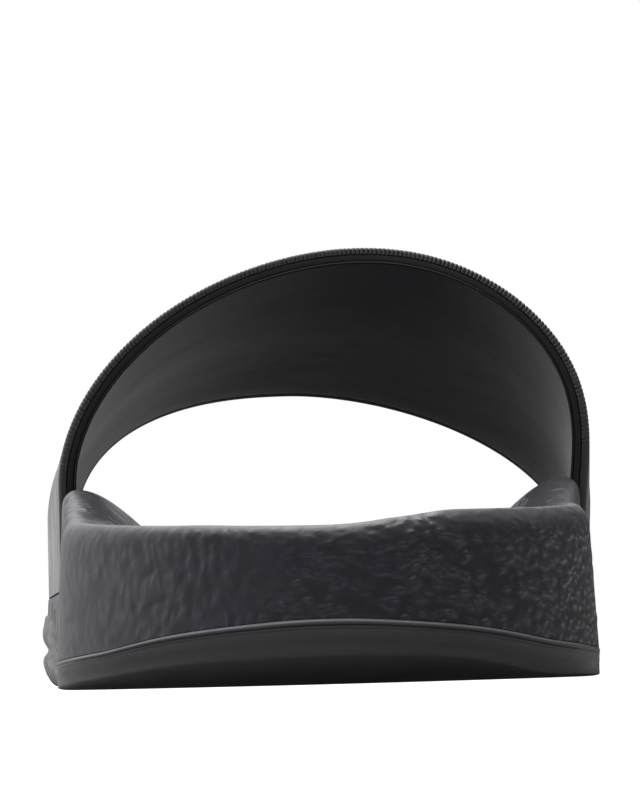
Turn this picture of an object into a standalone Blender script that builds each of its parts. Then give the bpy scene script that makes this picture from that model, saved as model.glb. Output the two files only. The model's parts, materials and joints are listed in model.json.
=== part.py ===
"""Slide sandal for the left foot: a rubber outsole, a moulded footbed and a broad strap.

Lengths are in metres. The toe points towards +Y, the inner side of the foot is at +X, and the
sole stands on the plane Z = 0. Shapes are worked out from the back of the heel, along the
sole's own centre line, and one empty then carries them to the origin, which is at the middle
of the part's box, on the floor.
"""

import math

import bmesh
import bpy
import numpy as np

NAME = "slide_sandal"

# Driving sizes of the sole
SOLE_LENGTH = 0.258
BALL_WIDTH = 0.0962
TOE_SPRING = 0.0060
ARCH_LIFT = 0.0018

# Driving sizes of the outsole
TREAD_THICKNESS = 0.0031
HEEL_LIP_RISE = 0.0048
SIDE_LIP_RISE = 0.0004
TOE_LIP_RISE = 0.0089
LIP_PROUD = 0.0005
RIB_PROUD = 0.0009
HEEL_BEVEL = 0.0095
SIDE_BEVEL = 0.0016
CUP_WALL = 0.0018
CUP_DRAFT = 0.0011
HEEL_WEDGE = 0.0055
GROOVE_WIDTH = 0.0030
GROOVE_FLOOR = 0.0013
GROOVE_PITCH = 0.0115
GROOVE_MARGIN = 0.0090
RIB_WIDTH = 0.0060
GROOVE_SWEEP = math.radians(14.0)

# Driving sizes of the footbed: its wall is measured up from the outsole's lip at the toe
WALL_HEIGHT = 0.0073
SIDE_RISE = 0.0110
DISH_DEPTH = 0.0053
WALL_FLARE = 0.0007
RIM_ROUND = 0.0024
RIM_CREST = 0.0023
DISH_REACH = 0.0120
DISH_SPREAD = 0.76

# Driving sizes of the strap: its feet stand above the outsole's lip at the toe
FOOT_CLEARANCE = 0.0030
INSTEP_RISE = 0.0545
STRAP_WALL = 0.0028
STRAP_INSET = 0.0003
EDGE_ROUND = 0.0007
SWELL_PLACE = 0.435
SWELL_REACH = 0.33

# Clearance between pieces that touch
GAP = 0.0003

# Heights that follow
TOE_LIP_HEIGHT = TREAD_THICKNESS + TOE_LIP_RISE
RIM_HEIGHT = TOE_LIP_HEIGHT + WALL_HEIGHT
SIDE_RIM_HEIGHT = RIM_HEIGHT + SIDE_RISE
BED_HEIGHT = RIM_HEIGHT - DISH_DEPTH
STRAP_FOOT_HEIGHT = TOE_LIP_HEIGHT + FOOT_CLEARANCE
GROOVE_DEPTH = TREAD_THICKNESS - GROOVE_FLOOR

# Numbers of points, and places of the rings between the edge and the spine of the sole
LOOP_POINTS = 104
ARCH_STEPS = 40
SKIRT_STEPS = 4
STRAP_ROWS = 11
CORE_SHARES = (0.0, 0.5, 1.0)
WALL_SHARES = (0.05, 0.35, 0.68)
RIM_TURNS = (0.0, 28.0, 56.0, 90.0)
DISH_SHARES = (0.12, 0.30, 0.50, 0.72, 1.00)
BED_SHARES = (0.70, 0.35)

# Plan of the sole: share of the length, then centre and half width as shares of the ball width
PLAN = (
    # along  centre   half
    (0.00,  0.000,  0.368),
    (0.16,  0.000,  0.370),
    (0.28, -0.005,  0.388),
    (0.43, -0.005,  0.423),
    (0.55, -0.010,  0.457),
    (0.68, -0.013,  0.489),
    (0.80, -0.008,  0.491),
    (0.90,  0.020,  0.470),
    (1.00,  0.060,  0.450),
)
HEEL_TIP = 0.015
HEEL_ROUND = 0.150
TOE_ROUND = 0.255
TOE_FULLNESS = 2.45
SPINE = (0.150, 0.860)

# Height of the rim's crest, as shares of the rim height, on the outer and the inner side
RIM = (
    # along  outer  inner
    (0.000, 1.000,  1.000),
    (0.005, 1.006,  1.035),
    (0.020, 1.020,  1.080),
    (0.060, 1.020,  1.070),
    (0.160, 1.008,  1.050),
    (0.300, 1.000,  1.030),
    (0.600, 1.000,  1.020),
    (0.800, 0.960,  0.960),
    (1.000, 0.920,  0.920),
)

# How far the rim rises from its own height (0) to the side rim height (1) beside the strap
RISE = (
    # along  rise
    (0.000, 0.000),
    (0.020, 0.017),
    (0.060, 0.083),
    (0.160, 0.275),
    (0.300, 0.500),
    (0.360, 0.790),
    (0.415, 0.990),
    (0.435, 1.000),
    (0.460, 0.875),
    (0.500, 0.668),
    (0.620, 0.351),
    (0.760, 0.050),
    (0.820, 0.000),
    (1.000, 0.000),
)

# Middle of the footbed, as a share of the bed height
BED = (
    # along  height
    (0.00,  1.00),
    (0.16,  1.00),
    (0.30,  1.09),
    (0.42,  1.22),
    (0.54,  1.05),
    (0.68,  0.92),
    (0.85,  0.90),
    (1.00,  0.94),
)

# Lip of the outsole: shares of the heel's, the side's and the toe's lip rises
LIP = (
    # along  heel   side   toe
    (0.000, 1.000, 0.000, 0.000),
    (0.005, 0.910, 0.090, 0.000),
    (0.020, 0.720, 0.280, 0.000),
    (0.060, 0.270, 0.730, 0.000),
    (0.110, 0.080, 0.920, 0.000),
    (0.160, 0.000, 1.000, 0.000),
    (0.400, 0.000, 1.050, 0.000),
    (0.480, 0.000, 0.800, 0.200),
    (0.560, 0.000, 0.150, 0.850),
    (0.610, 0.000, 0.000, 1.000),
    (1.000, 0.000, 0.000, 1.000),
)

# Side of the outsole from the floor to the lip: height as a share of the lip's, then shares of
# the heel bevel, of the side bevel, of the ribs' depth and of the lip's
OUTSOLE_SIDE = (
    # height heel   side   rib   lip
    (0.00,  1.000, 1.000, 0.00, 0.00),
    (0.09,  0.780, 0.400, 0.00, 0.09),
    (0.21,  0.560, 0.080, 0.50, 0.21),
    (0.32,  0.400, 0.000, 1.00, 0.32),
    (0.44,  0.270, 0.000, 0.75, 0.44),
    (0.52,  0.200, 0.000, 0.00, 0.52),
    (0.56,  0.160, 0.000, 0.00, 0.56),
    (0.65,  0.100, 0.000, 0.75, 0.65),
    (0.78,  0.040, 0.000, 1.00, 0.78),
    (0.91,  0.000, 0.000, 0.70, 0.91),
    (0.97,  0.000, 0.000, 0.56, 1.00),
    (1.00,  0.000, 0.000, 0.17, 0.30),
)

# Strap from its rear edge (0) to its front edge (1): the crown's place as a share of the ball
# width, its height and the springing of its sides as shares of the instep rise, how full its
# outer and inner shoulders are, and how far its inner side swells, as a share of the ball width
STRAP = (
    # along  crown   top    spring outer  inner  bulge
    (0.00,  0.058, 0.979, 0.307, 1.83, 2.15, 0.025),
    (0.35,  0.016, 0.884, 0.258, 1.91, 2.01, 0.018),
    (0.70, -0.028, 0.792, 0.226, 2.11, 1.87, 0.008),
    (1.00, -0.064, 0.702, 0.200, 2.41, 1.76, 0.000),
)

# Edges of the strap as shares of the sole's length, at its two feet and at its crown
STRAP_REAR_FOOT = 0.448
STRAP_REAR_CROWN = 0.468
STRAP_FRONT_FOOT = 0.768
STRAP_FRONT_CROWN = 0.738

# Footprints of the treads: where each begins and ends, as shares of the length
HEEL_TREAD = (0.065, 0.300)
TOE_TREAD = (0.500, 0.835)
ARCH_REAR = (0.305, 0.365)
ARCH_FRONT = (0.430, 0.490)
SPRING_START = 0.790


def clear_scene():
    """Remove every object that the file opened with."""
    for item in list(bpy.data.objects):
        bpy.data.objects.remove(item, do_unlink=True)


def smooth(low, high, value):
    """A soft step from 0 at low to 1 at high."""
    share = min(max((value - low) / (high - low), 0.0), 1.0)
    return share * share * (3.0 - 2.0 * share)


def read(table, column, at):
    """A smooth curve through one column of a table, by its first column."""
    keys = [row[0] for row in table]
    values = [row[column] for row in table]
    at = min(max(at, keys[0]), keys[-1])
    right = next((i for i, key in enumerate(keys) if key >= at and i > 0), len(keys) - 1)
    left = right - 1
    slopes = []
    for place in (left, right):
        low = max(place - 1, 0)
        high = min(place + 1, len(keys) - 1)
        before = (values[place] - values[low]) / (keys[place] - keys[low]) if place > low else None
        after = (values[high] - values[place]) / (keys[high] - keys[place]) if high > place else None
        if before is None or after is None:
            slopes.append(before if after is None else after)
        elif before * after <= 0.0:
            slopes.append(0.0)
        else:
            slopes.append(2.0 * before * after / (before + after))
    span = keys[right] - keys[left]
    share = (at - keys[left]) / span
    share2 = share * share
    share3 = share2 * share
    return (
        values[left] * (2 * share3 - 3 * share2 + 1)
        + slopes[0] * span * (share3 - 2 * share2 + share)
        + values[right] * (3 * share2 - 2 * share3)
        + slopes[1] * span * (share3 - share2)
    )


def end_round(along):
    """How the plan closes at the heel and at the toe: 0 at the tips and 1 between."""
    if along < HEEL_ROUND:
        return math.sqrt(max(1.0 - (1.0 - along / HEEL_ROUND) ** 2, 0.0))
    if along > 1.0 - TOE_ROUND:
        reach = (along - 1.0 + TOE_ROUND) / TOE_ROUND
        return max(1.0 - reach ** TOE_FULLNESS, 0.0) ** (1.0 / TOE_FULLNESS)
    return 1.0


def side_x(along, side):
    """The sole's edge at a station: side is -1 for the outer and +1 for the inner side."""
    half = read(PLAN, 2, along) * end_round(along)
    return BALL_WIDTH * (read(PLAN, 1, along) + side * half)


def plan_loop():
    """Places, outward directions, stations and sides round the sole, from the heel's tip."""
    places = []
    stations = []
    sides = []
    for step in range(LOOP_POINTS):
        angle = 2.0 * math.pi * step / LOOP_POINTS
        along = (1.0 - math.cos(angle)) / 2.0
        side = -1.0 if angle < math.pi else 1.0
        places.append((side_x(along, side), along * SOLE_LENGTH))
        stations.append(along)
        sides.append(side)
    places = np.array(places)
    tangents = np.roll(places, -1, axis=0) - np.roll(places, 1, axis=0)
    normals = np.stack((-tangents[:, 1], tangents[:, 0]), axis=1)
    normals /= np.linalg.norm(normals, axis=1)[:, None]
    return places, normals, stations, sides


def toe_lift(y):
    """How far the toe spring lifts the sole at a place along it."""
    reach = max(y / SOLE_LENGTH - SPRING_START, 0.0) / (1.0 - SPRING_START)
    return TOE_SPRING * min(reach, 1.0) ** 2


def arch_lift(y):
    """How far the underside of the waist lies above the two treads."""
    along = y / SOLE_LENGTH
    return ARCH_LIFT * (smooth(*ARCH_REAR, along) - smooth(*ARCH_FRONT, along))


def lip_height(along):
    """Height of the outsole's lip above its underside."""
    return (
        TREAD_THICKNESS
        + HEEL_LIP_RISE * read(LIP, 1, along)
        + SIDE_LIP_RISE * read(LIP, 2, along)
        + TOE_LIP_RISE * read(LIP, 3, along)
    )


def rim_height(along, side):
    """Height of the footbed's rim, which rises beside the strap."""
    low = RIM_HEIGHT * read(RIM, 1 if side < 0 else 2, along)
    return low + (SIDE_RIM_HEIGHT - low) * read(RISE, 1, along)


def bed_height(along, side, depth):
    """Height of the footbed at a depth inward from the rim's crest."""
    reach = DISH_REACH * (1.0 + DISH_SPREAD * read(RISE, 1, along))
    fall = smooth(0.0, reach, depth)
    rim = rim_height(along, side)
    return rim + (BED_HEIGHT * read(BED, 1, along) - rim) * fall


class Rings:
    """Rings of points round the sole, joined to one closed surface."""

    def __init__(self):
        self.places, self.normals, self.stations, self.sides = plan_loop()
        self.rings = []
        spine = []
        for along in self.stations:
            along = min(max(along, SPINE[0]), SPINE[1])
            spine.append((BALL_WIDTH * read(PLAN, 1, along), SOLE_LENGTH * along))
        self.spine = np.array(spine)

    def inset(self, depths):
        """Plan points moved inward from the edge by a depth for each."""
        return self.places - self.normals * np.array(depths)[:, None]

    def add(self, points, heights, arched):
        """Add a ring with a height for each point; an arched one follows the lifted waist."""
        ring = []
        for (x, y), z in zip(points, heights):
            lift = toe_lift(y) + (arch_lift(y) if arched else 0.0)
            ring.append((x, y, z + lift))
        self.rings.append(ring)

    def add_inset(self, depths, heights, arched=False):
        """Add a ring that follows the edge at given depths."""
        self.add(self.inset(depths), heights, arched)

    def add_core(self, depth, share, heights, arched=False):
        """Add a ring between one at a depth (share 1) and the spine (share 0)."""
        edge = self.inset([depth] * LOOP_POINTS)
        self.add(self.spine + (edge - self.spine) * share, heights, arched)

    def mesh(self, name):
        """The closed mesh, whose first and last rings lie on the spine."""
        shape = bmesh.new()
        rows = [[shape.verts.new(point) for point in ring] for ring in self.rings]
        for low, high in zip(rows[:-1], rows[1:]):
            for step in range(LOOP_POINTS):
                ahead = (step + 1) % LOOP_POINTS
                shape.faces.new((low[step], high[step], high[ahead], low[ahead]))
        bmesh.ops.remove_doubles(shape, verts=shape.verts[:], dist=1e-6)
        bmesh.ops.recalc_face_normals(shape, faces=shape.faces[:])
        data = bpy.data.meshes.new(name)
        shape.to_mesh(data)
        shape.free()
        return data


def finish_material(name, colour, roughness):
    """A plain moulded finish."""
    material = bpy.data.materials.new(name)
    material.use_nodes = True
    shader = material.node_tree.nodes["Principled BSDF"]
    shader.inputs["Base Color"].default_value = (*colour, 1.0)
    shader.inputs["Roughness"].default_value = roughness
    shader.inputs["Metallic"].default_value = 0.0
    material.diffuse_color = (*colour, 1.0)
    return material


def place(name, data, collection, carrier, material=None):
    """Make an object in a collection, carried by the empty."""
    item = bpy.data.objects.new(name, data)
    collection.objects.link(item)
    item.parent = carrier
    if material:
        data.materials.append(material)
        data.shade_smooth()
        data.set_sharp_from_angle(angle=math.radians(35.0))
    else:
        item.hide_render = True
        item.display_type = "WIRE"
    return item


def subtract(item, cutter):
    """Cut one object by another."""
    cut = item.modifiers.new("cut_" + cutter.name, "BOOLEAN")
    cut.operation = "DIFFERENCE"
    cut.solver = "EXACT"
    cut.object = cutter


def heel_share(along):
    """1 at the back of the heel, where the bevel is long, and 0 from its sides on."""
    return 1.0 - smooth(HEEL_TIP, HEEL_ROUND, along)


def outsole_depth(along, row):
    """Depth in from the edge of one row of the outsole's side."""
    heel = heel_share(along)
    ribs = read(LIP, 3, along)
    bevel = HEEL_BEVEL * row[1] * heel + SIDE_BEVEL * row[2] * (1.0 - heel)
    return bevel - RIB_PROUD * row[3] * ribs - LIP_PROUD * row[4] * (1.0 - ribs)


def floor_depth(along):
    """Depth in from the edge of the foot of the cup's wall, thick behind the heel bevel."""
    return CUP_WALL + CUP_DRAFT + HEEL_WEDGE * heel_share(along)


def outsole_mesh():
    """The tread unit: flat treads, bevelled heel, ribbed forefoot side and a shallow cup."""
    rings = Rings()
    inner = HEEL_BEVEL + CUP_WALL + CUP_DRAFT
    flat = [0.0] * LOOP_POINTS
    floor = [TREAD_THICKNESS] * LOOP_POINTS
    lips = [lip_height(along) for along in rings.stations]
    for share in CORE_SHARES:
        rings.add_core(inner, share, flat, True)
    for row in OUTSOLE_SIDE:
        depths = [outsole_depth(along, row) for along in rings.stations]
        rings.add_inset(depths, [lip * row[0] for lip in lips], True)
    rings.add_inset([CUP_WALL] * LOOP_POINTS, lips, True)
    rings.add_inset([floor_depth(along) for along in rings.stations], floor, True)
    for share in reversed(CORE_SHARES):
        rings.add_core(inner, share, floor, True)
    return rings.mesh("outsole")


def footbed_mesh():
    """The moulded body: side wall, rounded rim that rises at the strap, and the dished bed."""
    rings = Rings()
    stations = rings.stations
    floor = [TREAD_THICKNESS + GAP] * LOOP_POINTS
    lips = [lip_height(along) + GAP for along in stations]
    for share in CORE_SHARES:
        rings.add_core(HEEL_BEVEL + CUP_WALL + CUP_DRAFT + GAP, share, floor, True)
    rings.add_inset([floor_depth(along) + 2.0 * GAP for along in stations], floor, True)
    rings.add_inset([CUP_WALL + GAP] * LOOP_POINTS, lips, True)
    rings.add_inset([GAP] * LOOP_POINTS, lips, True)

    feet = [lip + arch_lift(y) for lip, y in zip(lips, rings.places[:, 1])]
    rims = [rim_height(along, side) for along, side in zip(stations, rings.sides)]
    for share in WALL_SHARES:
        heights = [foot + (rim - RIM_ROUND - foot) * share for foot, rim in zip(feet, rims)]
        rings.add_inset([WALL_FLARE * share] * LOOP_POINTS, heights)
    for turn in RIM_TURNS:
        angle = math.radians(turn)
        depth = WALL_FLARE + RIM_CREST * (1.0 - math.cos(angle))
        drop = RIM_ROUND * (1.0 - math.sin(angle))
        rings.add_inset([depth] * LOOP_POINTS, [rim - drop for rim in rims])

    edge = list(zip(stations, rings.sides))
    crest = WALL_FLARE + RIM_CREST
    for share in DISH_SHARES:
        depth = DISH_REACH * share
        rings.add_inset([crest + depth] * LOOP_POINTS, [bed_height(*place, depth) for place in edge])
    inner = crest + DISH_REACH
    halves = np.linalg.norm(rings.inset([inner] * LOOP_POINTS) - rings.spine, axis=1)
    for share in BED_SHARES:
        depths = DISH_REACH + halves * (1.0 - share)
        heights = [bed_height(*place, depth) for place, depth in zip(edge, depths)]
        rings.add_core(inner, share, heights)
    middle = [BED_HEIGHT * read(BED, 1, y / SOLE_LENGTH) for y in rings.spine[:, 1]]
    rings.add_core(inner, 0.0, middle)
    return rings.mesh("footbed")


def strap_point(rise, side, row):
    """A point of the strap's outer face.

    rise runs from -1 at the strap's foot over 0 at the springing to 1 at the crown, and row
    from 0 at the rear edge to 1 at the front edge. Past an edge the face runs straight on.
    """
    lift = smooth(0.0, 1.0, rise)
    rear = STRAP_REAR_FOOT + (STRAP_REAR_CROWN - STRAP_REAR_FOOT) * lift
    front = STRAP_FRONT_FOOT + (STRAP_FRONT_CROWN - STRAP_FRONT_FOOT) * lift
    along = rear + (front - rear) * row
    crown = BALL_WIDTH * read(STRAP, 1, row)
    top = STRAP_FOOT_HEIGHT + INSTEP_RISE * read(STRAP, 2, row)
    spring = STRAP_FOOT_HEIGHT + INSTEP_RISE * read(STRAP, 3, row)
    fullness = read(STRAP, 4 if side < 0 else 5, row)
    foot = side_x(along, side) - side * STRAP_INSET
    if rise <= 0.0:
        x = foot
        z = spring + (spring - STRAP_FOOT_HEIGHT) * rise
    else:
        angle = rise * math.pi / 2.0
        x = crown + (foot - crown) * math.cos(angle) ** (2.0 / fullness)
        z = spring + (top - spring) * math.sin(angle) ** (2.0 / fullness)
    if side > 0:
        swell = (z - spring - (top - spring) * SWELL_PLACE) / (INSTEP_RISE * SWELL_REACH)
        x += BALL_WIDTH * read(STRAP, 6, row) * math.exp(-swell * swell)
    y = along * SOLE_LENGTH
    return (x, y, z + toe_lift(y))


def strap_path():
    """Rises and sides across the strap, from its outer foot over the crown to its inner foot."""
    path = [(-1.0 + step / SKIRT_STEPS, -1.0) for step in range(SKIRT_STEPS)]
    half = ARCH_STEPS // 2
    path += [(step / half, -1.0) for step in range(half)]
    path += [((half - step) / half, 1.0) for step in range(half)]
    path += [(-step / SKIRT_STEPS, 1.0) for step in range(SKIRT_STEPS + 1)]
    return path


def strip_mesh(name, columns):
    """An open surface through columns of points."""
    shape = bmesh.new()
    grid = [[shape.verts.new(point) for point in column] for column in columns]
    for left, right in zip(grid[:-1], grid[1:]):
        for step in range(len(left) - 1):
            shape.faces.new((left[step], right[step], right[step + 1], left[step + 1]))
    data = bpy.data.meshes.new(name)
    shape.to_mesh(data)
    shape.free()
    return data


def thicken(item, inward, outward=0.0):
    """Give an open surface a wall on its inner side, and on its outer side."""
    wall = item.modifiers.new("wall", "SOLIDIFY")
    wall.thickness = inward + outward
    wall.offset = (outward - inward) / (outward + inward)
    wall.use_even_offset = True


def strap_face(name, side_gap=0.0, foot_gap=0.0):
    """The strap's outer face, with the gaps that a recess needs past its edges and its feet."""
    run = SOLE_LENGTH * (STRAP_FRONT_FOOT - STRAP_REAR_FOOT)
    skirt = INSTEP_RISE * STRAP[0][3]
    rows = [step / STRAP_ROWS for step in range(STRAP_ROWS + 1)]
    rows = [row + side_gap / run * (2.0 * row - 1.0) for row in rows]
    columns = []
    for rise, side in strap_path():
        if rise == -1.0:
            rise -= foot_gap / skirt
        columns.append([strap_point(rise, side, row) for row in rows])
    return strip_mesh(name, columns)


def make_strap(collection, carrier):
    """The upper: one broad band, open at the heel and at the toes."""
    material = finish_material("strap_synthetic_leather", (0.020, 0.019, 0.022), 0.50)
    strap = place("strap", strap_face("strap"), collection, carrier, material)
    thicken(strap, STRAP_WALL)
    edge = strap.modifiers.new("edge", "BEVEL")
    edge.width = min(EDGE_ROUND, STRAP_WALL * 0.4)
    edge.segments = 2
    edge.limit_method = "ANGLE"
    edge.angle_limit = math.radians(50.0)
    return strap


def make_recesses(footbed, cutters, carrier):
    """Cut the two recesses in the footbed's wall that hold the strap's feet."""
    cutter = place("recess", strap_face("recess", GAP, GAP), cutters, carrier)
    thicken(cutter, STRAP_WALL + GAP, STRAP_WALL)
    subtract(footbed, cutter)


def groove_mesh(name, boxes):
    """Separate boxes in one mesh: each is a centre, a size and a turn about Z."""
    shape = bmesh.new()
    for (x, y), (width, length), turn in boxes:
        made = bmesh.ops.create_cube(shape, size=1.0)["verts"]
        for vert in made:
            across = vert.co.x * width
            ahead = vert.co.y * length
            vert.co.x = x + across * math.cos(turn) - ahead * math.sin(turn)
            vert.co.y = y + across * math.sin(turn) + ahead * math.cos(turn)
            vert.co.z *= 2.0 * GROOVE_DEPTH
    data = bpy.data.meshes.new(name)
    shape.to_mesh(data)
    shape.free()
    return data


def make_grooves(outsole, cutters, carrier):
    """Cut the swept cross grooves and the middle grooves that leave the lugs."""
    cross = []
    middle = []
    for start, end in (HEEL_TREAD, TOE_TREAD):
        count = int((end - start) * SOLE_LENGTH / GROOVE_PITCH)
        step = (end - start) / count
        for index in range(1, count):
            along = start + step * index
            centre = BALL_WIDTH * read(PLAN, 1, along)
            for side in (-1.0, 1.0):
                start_x = (GROOVE_WIDTH + RIB_WIDTH) / 2.0
                length = abs(side_x(along, side) - centre) - GROOVE_MARGIN - start_x
                x = centre + side * (start_x + length / 2.0)
                y = along * SOLE_LENGTH + abs(x - centre) * math.tan(GROOVE_SWEEP)
                cross.append(((x, y), (length, GROOVE_WIDTH), side * GROOVE_SWEEP))
        y = (start + end) / 2.0 * SOLE_LENGTH
        run = (end - start) * SOLE_LENGTH - GROOVE_PITCH
        middle.append(((BALL_WIDTH * read(PLAN, 1, (start + end) / 2.0), y), (GROOVE_WIDTH, run), 0.0))
    for name, boxes in (("cross_grooves", cross), ("middle_grooves", middle)):
        cutter = place(name, groove_mesh(name, boxes), cutters, carrier)
        subtract(outsole, cutter)


def stand_on_origin(carrier, outsole):
    """Carry all pieces so that the middle of the outsole's box is above the origin."""
    points = np.array([vertex.co for vertex in outsole.data.vertices])
    low = points.min(axis=0)
    high = points.max(axis=0)
    carrier.location = (-(low[0] + high[0]) / 2.0, -(low[1] + high[1]) / 2.0, -low[2])


def main():
    """Build the sandal."""
    clear_scene()
    parts = bpy.data.collections.new(NAME)
    cutters = bpy.data.collections.new("cutters")
    for collection in (parts, cutters):
        bpy.context.scene.collection.children.link(collection)
    carrier = bpy.data.objects.new(NAME, None)
    parts.objects.link(carrier)

    rubber = finish_material("outsole_rubber", (0.018, 0.018, 0.019), 0.45)
    foam = finish_material("footbed_moulded_foam", (0.030, 0.029, 0.032), 0.55)
    outsole = place("outsole", outsole_mesh(), parts, carrier, rubber)
    footbed = place("footbed", footbed_mesh(), parts, carrier, foam)
    make_grooves(outsole, cutters, carrier)
    make_recesses(footbed, cutters, carrier)
    make_strap(parts, carrier)
    stand_on_origin(carrier, outsole)


main()
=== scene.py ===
"""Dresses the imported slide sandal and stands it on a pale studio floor.

The sole's body, the outsole and the layers of the band are modelled again in fine meshes from
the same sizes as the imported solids. Lengths are in metres. The toe points towards +Y, the inner
side of the foot is at +X, and the floor is at Z = 0.
"""

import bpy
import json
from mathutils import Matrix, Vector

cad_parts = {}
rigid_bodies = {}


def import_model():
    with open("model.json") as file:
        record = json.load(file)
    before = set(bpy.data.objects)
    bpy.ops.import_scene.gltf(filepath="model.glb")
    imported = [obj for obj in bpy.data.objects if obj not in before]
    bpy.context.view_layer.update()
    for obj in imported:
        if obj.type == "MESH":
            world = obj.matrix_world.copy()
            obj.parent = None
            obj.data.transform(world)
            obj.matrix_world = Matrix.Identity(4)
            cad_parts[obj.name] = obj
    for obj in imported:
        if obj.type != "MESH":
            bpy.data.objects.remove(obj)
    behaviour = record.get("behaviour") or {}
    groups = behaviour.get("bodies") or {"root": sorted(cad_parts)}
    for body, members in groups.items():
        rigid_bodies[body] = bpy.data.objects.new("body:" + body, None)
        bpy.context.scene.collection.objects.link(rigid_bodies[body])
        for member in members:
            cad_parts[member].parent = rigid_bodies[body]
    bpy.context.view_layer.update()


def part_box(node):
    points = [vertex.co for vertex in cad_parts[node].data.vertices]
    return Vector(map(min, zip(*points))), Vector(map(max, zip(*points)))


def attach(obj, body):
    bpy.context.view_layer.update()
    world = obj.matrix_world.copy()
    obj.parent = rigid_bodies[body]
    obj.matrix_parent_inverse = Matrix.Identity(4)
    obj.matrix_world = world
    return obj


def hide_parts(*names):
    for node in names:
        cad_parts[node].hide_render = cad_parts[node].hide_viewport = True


bl_info = {
    "name": "Slide Sandal",
    "version": (1, 0, 0),
    "blender": (4, 5, 0),
    "location": "3D View > Sidebar > Sandal",
    "description": "Builds a moulded slide sandal with a ribbed band on a pale studio floor",
    "category": "Object",
}

import json
import math

import bmesh
import bpy
import numpy as np
from bpy.props import FloatProperty, FloatVectorProperty, PointerProperty
from mathutils import Euler, Matrix, Vector

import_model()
MM = 0.001

# Driving sizes, as in the solids
SOLE_LENGTH = 0.258
BALL_WIDTH = 0.0962
TOE_SPRING = 0.0060
ARCH_LIFT = 0.0018
TREAD_THICKNESS = 0.0031
HEEL_LIP_RISE = 0.0048
SIDE_LIP_RISE = 0.0004
TOE_LIP_RISE = 0.0089
LIP_PROUD = 0.0005
RIB_PROUD = 0.0009
HEEL_BEVEL = 0.0095
SIDE_BEVEL = 0.0016
CUP_WALL = 0.0018
CUP_DRAFT = 0.0011
HEEL_WEDGE = 0.0055
GROOVE_WIDTH = 0.0030
GROOVE_FLOOR = 0.0013
GROOVE_PITCH = 0.0115
GROOVE_MARGIN = 0.0090
RIB_WIDTH = 0.0060
GROOVE_SWEEP = math.radians(14.0)
WALL_HEIGHT = 0.0073
SIDE_RISE = 0.0110
DISH_DEPTH = 0.0053
WALL_FLARE = 0.0007
RIM_ROUND = 0.0024
RIM_CREST = 0.0023
DISH_REACH = 0.0120
DISH_SPREAD = 0.76
FOOT_CLEARANCE = 0.0030
INSTEP_RISE = 0.0545
STRAP_WALL = 0.0028
STRAP_INSET = 0.0003
SWELL_PLACE = 0.435
SWELL_REACH = 0.33
GAP = 0.0003
TOE_LIP_HEIGHT = TREAD_THICKNESS + TOE_LIP_RISE
RIM_HEIGHT = TOE_LIP_HEIGHT + WALL_HEIGHT
SIDE_RIM_HEIGHT = RIM_HEIGHT + SIDE_RISE
BED_HEIGHT = RIM_HEIGHT - DISH_DEPTH
STRAP_FOOT_HEIGHT = TOE_LIP_HEIGHT + FOOT_CLEARANCE
GROOVE_DEPTH = TREAD_THICKNESS - GROOVE_FLOOR

# Plan of the sole: share of the length, then centre and half width as shares of the ball width
PLAN = (
    # along  centre   half
    (0.00,  0.000,  0.368),
    (0.16,  0.000,  0.370),
    (0.28, -0.005,  0.388),
    (0.43, -0.005,  0.423),
    (0.55, -0.010,  0.457),
    (0.68, -0.013,  0.489),
    (0.80, -0.008,  0.491),
    (0.90,  0.020,  0.470),
    (1.00,  0.060,  0.450),
)
HEEL_TIP = 0.015
HEEL_ROUND = 0.150
TOE_ROUND = 0.255
TOE_FULLNESS = 2.45
SPINE = (0.150, 0.860)

# Height of the rim's crest, as shares of the rim height, on the outer and the inner side
RIM = (
    # along  outer  inner
    (0.000, 1.000,  1.000),
    (0.005, 1.006,  1.035),
    (0.020, 1.020,  1.080),
    (0.060, 1.020,  1.070),
    (0.160, 1.008,  1.050),
    (0.300, 1.000,  1.030),
    (0.600, 1.000,  1.020),
    (0.800, 0.960,  0.960),
    (1.000, 0.920,  0.920),
)

# How far the rim rises from its own height (0) to the side rim height (1) beside the strap
RISE = (
    # along  rise
    (0.000, 0.000),
    (0.020, 0.017),
    (0.060, 0.083),
    (0.160, 0.275),
    (0.300, 0.500),
    (0.360, 0.790),
    (0.415, 0.990),
    (0.435, 1.000),
    (0.460, 0.875),
    (0.500, 0.668),
    (0.620, 0.351),
    (0.760, 0.050),
    (0.820, 0.000),
    (1.000, 0.000),
)

# Middle of the footbed, as a share of the bed height
BED = (
    # along  height
    (0.00,  1.00),
    (0.16,  1.00),
    (0.30,  1.09),
    (0.42,  1.22),
    (0.54,  1.05),
    (0.68,  0.92),
    (0.85,  0.90),
    (1.00,  0.94),
)

# Lip of the outsole: shares of the heel's, the side's and the toe's lip rises
LIP = (
    # along  heel   side   toe
    (0.000, 1.000, 0.000, 0.000),
    (0.005, 0.910, 0.090, 0.000),
    (0.020, 0.720, 0.280, 0.000),
    (0.060, 0.270, 0.730, 0.000),
    (0.110, 0.080, 0.920, 0.000),
    (0.160, 0.000, 1.000, 0.000),
    (0.400, 0.000, 1.050, 0.000),
    (0.480, 0.000, 0.800, 0.200),
    (0.560, 0.000, 0.150, 0.850),
    (0.610, 0.000, 0.000, 1.000),
    (1.000, 0.000, 0.000, 1.000),
)

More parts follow.
